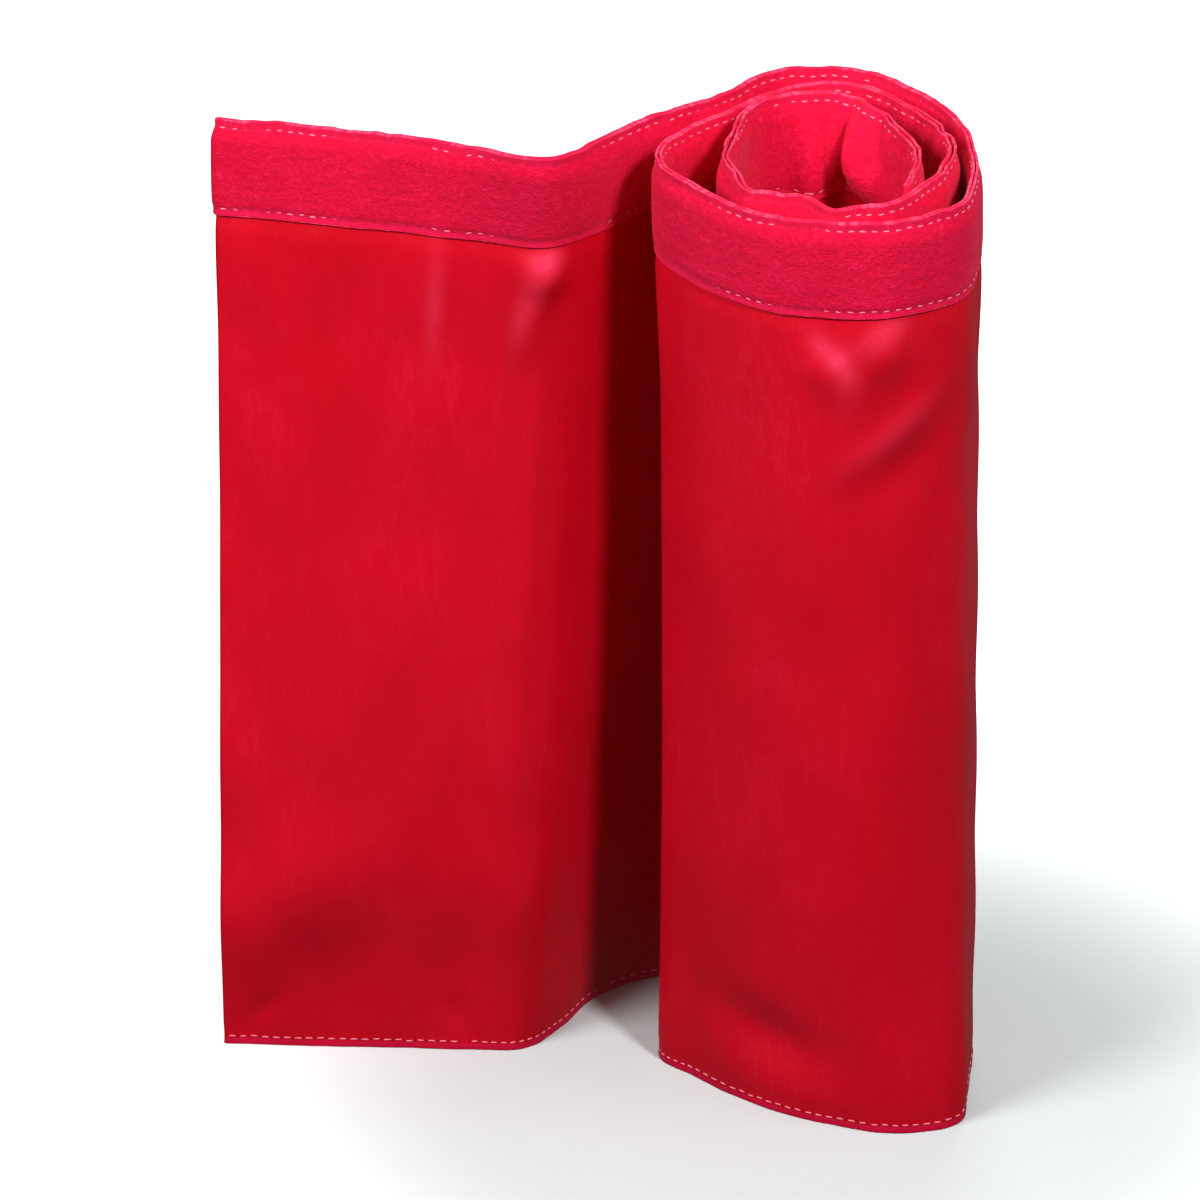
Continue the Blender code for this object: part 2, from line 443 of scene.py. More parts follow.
@dataclass
class Sandwich:
    """Where each ply and each row of stitches lies through the cloth's thickness."""

    cloth: ClothSizes
    drape: Drape
    wrap_arc: float = 0.006

    def loft(self, along: np.ndarray, height: np.ndarray, face: Face) -> np.ndarray:
        """Say how far a face's plies stand off, pinched flat at each sewn row."""
        rows = self.cloth.row_heights
        seed = 20 if face is Face.OUTER else 30
        shut = self.cloth.height - self.cloth.skin_inset
        closing = -0.00130 * rise(height, shut - 0.001, rows["top_row"] - 0.0005)
        parted = np.clip(Wander(seed, 0.019).along(along) + 0.05, 0.0, 1.0)
        parted += 0.35 * Wander(seed + 1, 0.0045).along(along)
        wound = self.drape.route.angle(along)
        loose = 0.16 + 1.2 * bump(wound, 645.0, 35.0) + 0.9 * bump(wound, 470.0, 50.0)
        loose += 0.9 * bump(wound, 835.0, 45.0) + 0.7 * bump(wound, 260.0, 40.0)
        flare = 0.0011 * loose * parted * rise(height, rows["top_row"] + 0.0006, self.cloth.height)
        between = (height - rows["tape_row"]) / (rows["top_row"] - rows["tape_row"])
        quilt = 0.0005 * np.sin(np.clip(between, 0, 1) * math.pi) ** 0.7
        below = rows["tape_row"] - height
        under = 0.0012 * (1 + 0.5 * Wander(seed + 2, 0.013).along(along))
        under = under * (rise(below, 0.0, 0.014) - rise(below, 0.016, 0.075))
        above_hem = rise(height, rows["hem_row"], rows["hem_row"] + 0.010)
        above_hem = 0.0004 * above_hem * (1 - rise(height, 0.02, 0.06))
        hem = 1 + 0.6 * Wander(seed + 3, 0.007).along(along)
        hem = 0.0004 * hem * (1 - rise(height, 0.0, rows["hem_row"] - 0.0005))
        return closing + flare + quilt + under + above_hem + hem

    def offset(
        self, along: np.ndarray, height: np.ndarray, depth: np.ndarray | float, face: Face
    ) -> np.ndarray:
        """Give points at a depth from the middle, carried round the cloth's free ends.

        Args:
            along: distances along the route; beyond its ends they go round and back.
            height: heights up the cloth.
            depth: distance from the middle of the cloth, outwards on this face.
            face: the face that the ply belongs to.

        Returns:
            Points, with the three coordinates on the last axis.
        """
        length = self.drape.route.length
        before, after = -along, along - length
        beyond = np.maximum(np.maximum(before, after), 0.0)
        around = np.clip(beyond / self.wrap_arc, 0.0, 1.0) * math.pi
        back = np.maximum(beyond - self.wrap_arc, 0.0)
        at = np.clip(along, 0.0, length)
        at = np.where(before > 0, back, np.where(after > 0, length - back, at))
        point, normal = self.drape.frame(at, height)
        upright = np.broadcast_to(np.array((0.0, 0.0, 1.0)), normal.shape)
        outward = np.cross(upright, normal)
        outward /= np.linalg.norm(outward, axis=-1, keepdims=True)
        outward = outward * np.where(before > 0, 1.0, -1.0)[..., None]
        side = face.value
        turned = np.cos(around)[..., None] * normal * side + np.sin(around)[..., None] * outward
        return point + turned * (depth + self.loft(at, height, face))[..., None]


@dataclass
class Sheet:
    """One ply of one stretch: a closed, thin solid with soft hems and plain cut ends.

    Attributes:
        name: the piece's name.
        span: its start and end along the route.
        levels: its foot and its top.
        back: distance of its inner side from the cloth's middle.
        thickness: how thick it is.
        face: the face of the cloth that it belongs to.
        columns: how many cells it has along the route.
        rows: how many cells it has up its height.
        bevel: how far its hems are rounded.
        looped: whether it is tape, thinner on its selvedges.
        free: the ends, along the route, that nothing joins on to.
    """

    name: str
    span: tuple[float, float]
    levels: tuple[float, float]
    back: float
    thickness: float
    face: Face
    columns: int
    rows: int
    bevel: float
    looped: bool
    free: tuple[bool, bool]

    def build(self, sandwich: Sandwich) -> bpy.types.Object:
        """Make the sheet from a grid, laid on the cloth and thickened.

        Args:
            sandwich: where plies lie through the cloth.

        Returns:
            The finished piece.
        """
        deselect()
        bpy.ops.mesh.primitive_grid_add(
            x_subdivisions=self.columns, y_subdivisions=self.rows, size=2.0, calc_uvs=True
        )
        piece = bpy.context.object
        piece.name = piece.data.name = self.name
        mesh = piece.data
        flat = coordinates(mesh)
        across, up = (flat[:, 0] + 1) / 2, (flat[:, 1] + 1) / 2
        along = self.span[0] + across * (self.span[1] - self.span[0])
        height = self.levels[0] + self._crowded(up) * (self.levels[1] - self.levels[0])
        placed = sandwich.offset(along, height, np.full(len(along), self.back), self.face)
        place(mesh, placed)
        self._unwrap(mesh, along, height)
        if self.face is Face.OUTER:
            mesh.flip_normals()
        mesh.update()
        # the strength of the painted highlight, kept on each point for the skin's shader
        rubbed = mesh.attributes.new("rubbed", "FLOAT", "POINT")
        rubbed.data.foreach_set("value", sandwich.drape.rubbed(along, height).astype(np.float32))
        if self.looped:
            group = piece.vertex_groups.new(name="pile")
            for index, share in enumerate(sandwich.cloth.pile(height)):
                group.add([index], float(share), "REPLACE")
        self._thicken(piece, across, up, sandwich.cloth.selvedge_share)
        return piece

    def _crowded(self, up: np.ndarray) -> np.ndarray:
        """Crowd the rows towards the sheet's foot and top, where it bends most."""
        return up - 0.09 * np.sin(up * FULL_TURN) / (FULL_TURN / 2)

    def _unwrap(self, mesh: bpy.types.Mesh, along: np.ndarray, height: np.ndarray) -> None:
        """Write the distance along and the height, in metres, as the sheet's UV map."""
        corners = np.empty(len(mesh.loops), dtype=np.int64)
        mesh.loops.foreach_get("vertex_index", corners)
        uv = np.column_stack((along[corners], height[corners]))
        mesh.uv_layers.active.name = "cloth"
        mesh.uv_layers.active.data.foreach_set("uv", uv.astype(np.float32).ravel())

    def _thicken(
        self, piece: bpy.types.Object, across: np.ndarray, up: np.ndarray, thin_share: float
    ) -> None:
        """Give the sheet its thickness, round its hems and keep its cut ends crisp."""
        solid = piece.modifiers.new("thickness", "SOLIDIFY")
        solid.thickness = self.thickness
        solid.offset = 1.0
        if self.looped:
            solid.vertex_group = "pile"
            solid.thickness_vertex_group = thin_share
        bpy.context.view_layer.objects.active = piece
        bpy.ops.object.modifier_apply(modifier="thickness")
        self._mark_edges(piece.data, np.tile(across, 2), np.tile(up, 2))
        soft = piece.modifiers.new("soft_hem", "BEVEL")
        soft.width = self.bevel
        soft.segments = 3 if self.looped else 2
        soft.limit_method = "WEIGHT"
        soft.loop_slide = False
        bpy.ops.object.modifier_apply(modifier="soft_hem")
        piece.data.shade_smooth()

    def _mark_edges(self, mesh: bpy.types.Mesh, across: np.ndarray, up: np.ndarray) -> None:
        """Mark which edges are rounded and which stay sharp."""
        ends = np.empty(len(mesh.edges) * 2, dtype=np.int64)
        mesh.edges.foreach_get("vertices", ends)
        first, second = ends.reshape(-1, 2).T
        half = len(across) // 2
        same_side = (first < half) == (second < half)

        def on(values: np.ndarray, level: float) -> np.ndarray:
            """Find the edges that lie along one border of the sheet."""
            near = np.abs(values - level) < 1e-5
            return near[first] & near[second] & same_side

        start, end = on(across, 0.0), on(across, 1.0)
        rounded = on(up, 0.0) | on(up, 1.0) | (start & self.free[0]) | (end & self.free[1])
        crisp = (start & (not self.free[0])) | (end & (not self.free[1]))
        weights = mesh.attributes.new("bevel_weight_edge", "FLOAT", "EDGE")
        weights.data.foreach_set("value", rounded.astype(np.float32))
        sharp = mesh.attributes.new("sharp_edge", "BOOLEAN", "EDGE")
        sharp.data.foreach_set("value", crisp)


def deselect() -> None:
    """Clear the selection, in object mode."""
    for chosen in list(bpy.context.selected_objects):
        chosen.select_set(False)


def coordinates(mesh: bpy.types.Mesh) -> np.ndarray:
    """Read a mesh's points."""
    flat = np.empty(len(mesh.vertices) * 3)
    mesh.vertices.foreach_get("co", flat)
    return flat.reshape(-1, 3)


def place(mesh: bpy.types.Mesh, points: np.ndarray) -> None:
    """Move a mesh's points."""
    mesh.vertices.foreach_set("co", points.astype(np.float32).ravel())


# --------------------------------------------------------------------------- stitches


@dataclass
class StitchRow:
    """One row of single stitches on one face of one stretch."""

    name: str
    height: float
    face: Face
    span: tuple[float, float]
    depth: float

    def build(self, sandwich: Sandwich) -> bpy.types.Object | None:
        """Sew the row: one stitch, repeated, each laid on the cloth with its ends sunk.

        Args:
            sandwich: where plies lie through the cloth.

        Returns:
            The row as one piece, or None where no stitch falls in the span.
        """
        cloth = sandwich.cloth
        first = math.ceil(self.span[0] / cloth.stitch_pitch)
        last = math.floor((self.span[1] - 1e-6) / cloth.stitch_pitch) - 1
        if last < first:
            return None
        deselect()
        bpy.ops.mesh.primitive_uv_sphere_add(segments=6, ring_count=6, radius=0.5)
        piece = bpy.context.object
        piece.name = piece.data.name = self.name
        copies = piece.modifiers.new("row", "ARRAY")
        copies.use_relative_offset = False
        copies.use_constant_offset = True
        copies.constant_offset_displace = (0.0, 0.0, 2.0)
        copies.count = last - first + 1
        bpy.ops.object.modifier_apply(modifier="row")
        mesh = piece.data
        local = coordinates(mesh)
        number = np.round(local[:, 2] / 2).astype(int)
        reach = local[:, 2] - 2 * number
        drift = np.random.default_rng(round(self.height * 1e4) + self.face.value)
        drift = drift.normal(0.0, 1.0, (4, 400))[:, number + first]
        round_section = np.sqrt(np.clip(0.25 - reach**2, 1e-9, None))
        plump = np.sqrt(np.clip(1 - np.abs(2 * reach) ** 2.6, 0.0, 1.0)) * 0.5 / round_section
        on_hem = self.height < cloth.tape_foot / 2
        length = cloth.stitch_length * (1.24 if on_hem else 1.0) * (1 + 0.06 * drift[3])
        if on_hem:
            drift[2] *= 0.5
        along = (number + first + 0.5) * cloth.stitch_pitch + reach * length + 0.00012 * drift[0]
        height = self.height + 0.00016 * drift[1] + 0.0004 * reach * drift[2]
        height = height + local[:, 0] * plump * cloth.thread * 1.05
        group = Wander(43 + self.face.value, 0.026).along((number + first) * cloth.stitch_pitch)
        settled = 0.12 if on_hem else 0.10 - 0.60 * np.clip(1.5 * group + 0.10, 0.0, 1.0)
        sunk = cloth.thread * (settled - 1.1 * np.abs(2 * reach) ** 3)
        depth = self.depth + sunk + local[:, 1] * plump * cloth.thread * 0.85
        place(mesh, sandwich.offset(along, height, depth, self.face))
        mesh.uv_layers.active.name = "cloth"
        bpy.ops.object.mode_set(mode="EDIT")
        bpy.ops.mesh.select_all(action="SELECT")
        bpy.ops.mesh.normals_make_consistent(inside=False)
        bpy.ops.object.mode_set(mode="OBJECT")
        mesh.shade_smooth()
        return piece


# --------------------------------------------------------------------------- shaders


class Value:
    """A shader socket that ordinary arithmetic works on."""

    def __init__(self, shader: Shader, socket: bpy.types.NodeSocket) -> None:
        """Wrap a socket of a shader."""
        self.shader = shader
        self.socket = socket

    def _math(self, operation: str, first: Value | float, second: Value | float = 0.0) -> Value:
        """Add a Math node and give its result."""
        node = self.shader.node("ShaderNodeMath", {"operation": operation}, {0: first, 1: second})
        return Value(self.shader, node.outputs[0])

    def __add__(self, other: Value | float) -> Value:
        """Add."""
        return self._math("ADD", self, other)

    __radd__ = __add__

    def __sub__(self, other: Value | float) -> Value:
        """Subtract."""
        return self._math("SUBTRACT", self, other)

    def __rsub__(self, other: Value | float) -> Value:
        """Subtract from."""
        return self._math("SUBTRACT", other, self)

    def __mul__(self, other: Value | float) -> Value:
        """Multiply."""
        return self._math("MULTIPLY", self, other)

    __rmul__ = __mul__

    def sine(self) -> Value:
        """Give the sine."""
        return self._math("SINE", self)

    def fraction(self) -> Value:
        """Give what is left after the whole number."""
        return self._math("FRACT", self)

    def distance(self, place: float) -> Value:
        """Give the distance from a number."""
        return self._math("ABSOLUTE", self - place)

    def ramp(self, low: float, high: float) -> Value:
        """Climb smoothly from 0 at low to 1 at high, or fall where low is the larger."""
        settings = {"interpolation_type": "SMOOTHSTEP"}
        inputs = {"Value": self, "From Min": low, "From Max": high}
        return Value(self.shader, self.shader.node("ShaderNodeMapRange", settings, inputs).outputs[0])


class Shader:
    """A material's node tree, built from expressions."""

    def __init__(self, name: str) -> None:
        """Start a material that holds one Principled shader."""
        self.material = bpy.data.materials.new(name)
        self.material.use_nodes = True
        self.tree = self.material.node_tree
        self.surface = self.tree.nodes["Principled BSDF"]

    def node(
        self, kind: str, settings: dict[str, object], inputs: dict[str | int, object]
    ) -> bpy.types.Node:
        """Add a node.

        Args:
            kind: the node's type.
            settings: its properties, and under "stops" a ramp's (place, colour) pairs.
            inputs: a value or a Value for each socket, by name or number.

        Returns:
            The new node.
        """
        node = self.tree.nodes.new(kind)
        for key, value in settings.items():
            if key == "stops":
                ramp = node.color_ramp
                while len(ramp.elements) < len(value):
                    ramp.elements.new(0.5)
                for element, (place, colour) in zip(ramp.elements, value):
                    element.position = place
                    element.color = (*colour, 1.0)
            else:
                setattr(node, key, value)
        for key, value in inputs.items():
            if isinstance(value, Value):
                self.tree.links.new(value.socket, node.inputs[key])
            else:
                node.inputs[key].default_value = value
        return node

    def number(self, kind: str, settings: dict[str, object], inputs: dict, output: int = 0) -> Value:
        """Add a node and give one of its outputs."""
        return Value(self, self.node(kind, settings, inputs).outputs[output])

    def coordinates(self) -> tuple[Value, Value, Value]:
        """Give the cloth's own map as a vector, and its two parts in metres."""
        uv = self.number("ShaderNodeUVMap", {"uv_map": "cloth"}, {})
        parts = self.node("ShaderNodeSeparateXYZ", {}, {0: uv})
        return uv, Value(self, parts.outputs[0]), Value(self, parts.outputs[1])

    def noise(self, vector: Value, scale: float, detail: float = 3.0, rough: float = 0.55) -> Value:
        """Give smooth noise between 0 and 1."""
        inputs = {"Vector": vector, "Scale": scale, "Detail": detail, "Roughness": rough}
        return self.number("ShaderNodeTexNoise", {}, inputs)

    def stretched(self, vector: Value, stretch: tuple[float, float, float]) -> Value:
        """Stretch a vector."""
        return self.number("ShaderNodeMapping", {}, {"Vector": vector, "Scale": stretch})

    def mix(self, share: Value | float, first: object, second: object) -> Value:
        """Mix two colours."""
        inputs = {0: share, 6: colour_of(first), 7: colour_of(second)}
        return self.number("ShaderNodeMix", {"data_type": "RGBA"}, inputs, 2)

    def bump(self, height: Value, strength: float, distance: float, base: Value | None = None) -> Value:
        """Turn a height into a normal, on top of another normal."""
        inputs: dict[str | int, object] = {
            "Height": height,
            "Strength": strength,
            "Distance": distance,
        }
        if base is not None:
            inputs["Normal"] = base
        return self.number("ShaderNodeBump", {}, inputs)

    def connect(self, **links: Value) -> None:
        """Feed values that vary into the surface, by socket name with spaces as underscores."""
        for name, value in links.items():
            self.tree.links.new(value.socket, self.surface.inputs[name.replace("_", " ")])

    def fix(self, **constants: object) -> None:
        """Set the surface's constants, by socket name with spaces as underscores."""
        for name, value in constants.items():
            self.surface.inputs[name.replace("_", " ")].default_value = value


def colour_of(value: object) -> object:
    """Give a colour with its alpha, or a Value as it is."""
    return value if isinstance(value, Value) else (*value, 1.0)


@dataclass(frozen=True)
class CoatedSkin:
    """Red coating over a plain weave, satin, with faint creases and needle holes, painted shade in the
    holes and under the tape's lower edge, and painted highlights on the puffs under the tape.
    """

    cloth: ClothSizes
    red: tuple[float, float, float] = (0.640, 0.0012, 0.0155)
    deep: tuple[float, float, float] = (0.570, 0.0009, 0.0110)
    lifted: tuple[float, float, float] = (0.700, 0.0060, 0.0320)
    # pale pink painted in as highlights over the puffs under the tape
    rubbed: tuple[float, float, float] = (0.800, 0.0360, 0.1000)

    def material(self) -> bpy.types.Material:
        """Make the material."""
        shader = Shader("coated_skin")
        uv, along, height = shader.coordinates()
        thread = FULL_TURN / 0.00125
        weave = (along * thread).sine() * (height * thread).sine()
        cloudy = shader.noise(shader.stretched(uv, (1.0, 0.6, 1.0)), 14.0, 4.0)
        grain = shader.noise(uv, 950.0, 2.0)
        crease = shader.noise(shader.stretched(uv, (1.0, 0.28, 1.0)), 46.0, 6.0, 0.62)
        creased = crease.distance(0.5).ramp(0.035, 0.0)
        hem = height.distance(self.cloth.hem_row).ramp(0.0016, 0.0002)
        tape = height.distance(self.cloth.tape_foot).ramp(0.010, 0.0)
        hole = (along * (1 / self.cloth.stitch_pitch)).fraction().distance(0.5).ramp(0.38, 0.46)
        colour = shader.mix(cloudy.ramp(0.30, 0.72), self.deep, self.red)
        colour = shader.mix(creased * cloudy.ramp(0.45, 0.75) * 0.35, colour, self.lifted)
        # painted shade: the needle holes along the hem row darkened
        colour = shader.mix(hem * hole * 0.5, colour, (0.20, 0.001, 0.006))
        colour = shader.mix(height.ramp(0.0042, 0.0026) * 0.7, colour, (0.66, 0.0050, 0.0500))
        # painted shade: the skin darkened within 10 mm of the tape's lower edge, strongest right at it
        colour = shader.mix(tape * 0.25, colour, self.deep)
        # painted highlight: pale pink patches standing in for the lights' reflections on the puffs, a
        # little less rough
        rubbed = shader.number("ShaderNodeAttribute", {"attribute_name": "rubbed"}, {}, 2)
        colour = shader.mix(rubbed * (0.75 + cloudy * 0.3), colour, self.rubbed)
        rough = 0.31 + cloudy * 0.09 + grain * 0.05 + creased * 0.06 - rubbed * 0.05
        normal = shader.bump(weave + grain * 0.7, 0.12, 0.0003)
        normal = shader.bump(crease, 0.10, 0.0012, normal)
        shader.connect(Base_Color=colour, Roughness=rough, Normal=normal)
        shader.fix(Specular_IOR_Level=0.29, Coat_Weight=0.04, Coat_Roughness=0.24)
        shader.fix(Sheen_Weight=0.02, Sheen_Roughness=0.5, Sheen_Tint=(1.0, 0.30, 0.40, 1.0))
        return shader.material


@dataclass(frozen=True)
class LoopTape:
    """Brushed loops between two flat selvedges, with painted sheen making the pile paler where it stands
    up and painted shade among the loops, a painted highlight along its edges and painted shade in its
    stitch holes.
    """

    cloth: ClothSizes
    # one red in three lightnesses: the darkest is painted shade among the loops; the palest is painted
    # sheen on raised pile and also the selvedges' own paler tone
    body: tuple[float, float, float] = (0.730, 0.0030, 0.044)
    root: tuple[float, float, float] = (0.600, 0.0018, 0.030)
    pile_sheen_and_selvedge: tuple[float, float, float] = (0.900, 0.0190, 0.105)

    def material(self) -> bpy.types.Material:
        """Make the material."""
        shader = Shader("loop_tape")
        uv, along, height = shader.coordinates()
        rows = self.cloth.row_heights
        low, high = rows["tape_row"] + 0.0012, rows["top_row"] - 0.0008
        pile = height.ramp(low - 0.0008, low + 0.0008) * height.ramp(high + 0.0008, high - 0.0008)
        loops = shader.number(
            "ShaderNodeTexVoronoi", {"feature": "SMOOTH_F1"}, {"Vector": uv, "Scale": 820.0}
        )
        fibre = shader.noise(shader.stretched(uv, (1.0, 2.4, 1.0)), 900.0, 4.0, 0.7)
        brushed = shader.noise(shader.stretched(uv, (1.0, 1.7, 1.0)), 62.0, 4.0, 0.6)
        tuft = shader.noise(uv, 330.0, 3.0, 0.65)
        rib = (along * (FULL_TURN / 0.0011)).sine() * 0.5 + 0.5
        cord = (height * (FULL_TURN / 0.0013)).sine() * 0.5 + 0.5
        hole = (along * (1 / self.cloth.stitch_pitch)).fraction().distance(0.5).ramp(0.38, 0.46)
        on_row = height.distance(rows["tape_row"]).ramp(0.0012, 0.0003)
        on_row = on_row + height.distance(rows["top_row"]).ramp(0.0012, 0.0003)
        # random tone mixed with painted sheen and shade: paler where the tufts stand up and the brushed
        # pile catches light, darker among the loops
        pile_sheen_mottle = tuft * 0.62 + fibre * 0.25 + brushed * 0.33
        colour = shader.mix(pile_sheen_mottle.ramp(0.40, 0.74), self.root, self.body)
        colour = shader.mix(pile_sheen_mottle.ramp(0.62, 0.84) * 0.60, colour, self.pile_sheen_and_selvedge)
        colour = shader.mix((1 - pile) * (0.14 + rib * 0.06 + tuft * 0.12), colour, self.pile_sheen_and_selvedge)
        # painted highlight: pale pink along the tape's top and bottom edges, broken up by noise, where
        # light catches the fuzzy edge
        edge = height.ramp(self.cloth.height - 0.0009, self.cloth.height - 0.0001)
        edge = edge + height.ramp(self.cloth.tape_foot + 0.0009, self.cloth.tape_foot)
        edge_highlight_breakup = tuft.ramp(0.38, 0.60) * brushed.ramp(0.42, 0.62)
        colour = shader.mix(edge * edge_highlight_breakup * 0.8, colour, (0.92, 0.085, 0.190))
        # painted shade: the needle holes along the tape's two rows darkened
        colour = shader.mix(on_row * hole * 0.35, colour, (0.30, 0.001, 0.012))
        stand = (loops * -0.8 + fibre * 0.7 + tuft) * pile + (1 - pile) * (rib + cord + tuft * 2.0) * 0.16
        normal = shader.bump(stand, 0.60, 0.0007)
        normal = shader.bump(brushed, 0.35, 0.0016, normal)
        rough = 0.78 + fibre * 0.2
        shader.connect(Base_Color=colour, Roughness=rough, Normal=normal)
        shader.fix(Specular_IOR_Level=0.12, Sheen_Weight=0.12, Sheen_Roughness=0.45)
        shader.fix(Sheen_Tint=(1.0, 0.28, 0.46, 1.0))
        return shader.material


@dataclass(frozen=True)
class WovenCore:
    """Plain woven glass cloth, off-white with a faint sheen."""

    def material(self) -> bpy.types.Material:
        """Make the material."""
        shader = Shader("woven_core")
        uv, along, height = shader.coordinates()
        thread = FULL_TURN / 0.0016
        weave = (along * thread).sine() * (height * thread).sine()
        fuzz = shader.noise(uv, 600.0, 3.0)
        colour = shader.mix(fuzz * 0.7 + weave * 0.2, (0.52, 0.50, 0.44), (0.74, 0.73, 0.68))
        normal = shader.bump(weave + fuzz, 0.5, 0.0005)
        shader.connect(Base_Color=colour, Roughness=0.75 + fuzz * 0.2, Normal=normal)
        shader.fix(Specular_IOR_Level=0.3, Sheen_Weight=0.2)
        return shader.material


@dataclass(frozen=True)
class SewingThread:
    """Twisted pink thread, its strands slanting round it."""

    light: tuple[float, float, float] = (0.95, 0.340, 0.450)
    dark: tuple[float, float, float] = (0.82, 0.110, 0.200)

    def material(self) -> bpy.types.Material:
        """Make the material."""
        shader = Shader("sewing_thread")
        uv, ring, side = shader.coordinates()
        strand = ((side * 5.0 + ring * 2.0) * FULL_TURN).sine() * 0.5 + 0.5
        fuzz = shader.noise(uv, 9.0, 3.0)
        colour = shader.mix(strand * 0.7 + fuzz * 0.3, self.dark, self.light)
        normal = shader.bump(strand, 0.4, 0.0003)
        shader.connect(Base_Color=colour, Roughness=0.5 + fuzz * 0.25, Normal=normal)
        shader.fix(Specular_IOR_Level=0.35, Sheen_Weight=0.3, Sheen_Tint=(1.0, 0.6, 0.7, 1.0))
        return shader.material


@dataclass(frozen=True)
class StudioFloor:
    """Matt white board that glows white away from the blanket, so that it has no horizon."""

    near: float = 0.15
    far: float = 0.45
    middle: tuple[float, float, float] = (0.10, -0.04, 0.0)

    def material(self) -> bpy.types.Material:
        """Make the material."""
        shader = Shader("studio_floor")
        place_on = shader.number("ShaderNodeTexCoord", {}, {}, 3)
        uneven = shader.noise(place_on, 3.0, 2.0)
        inputs = {0: place_on, 1: self.middle}
        away = shader.number("ShaderNodeVectorMath", {"operation": "DISTANCE"}, inputs, 1)
        # grey tinted slightly cyan to cancel the pink light the blanket bounces onto the floor, so that
        # its shadows read neutral
        colour = shader.mix(uneven, (0.545, 0.590, 0.590), (0.560, 0.605, 0.605))
        glow = shader.mix(away.ramp(self.near, self.far), (0.0, 0.0, 0.0), (1.0, 1.0, 1.0))
        shader.connect(Base_Color=colour, Roughness=0.9 + uneven * 0.05, Emission_Color=glow)
        shader.fix(Specular_IOR_Level=0.1, Emission_Strength=1.0)
        return shader.material


# --------------------------------------------------------------------------- blanket


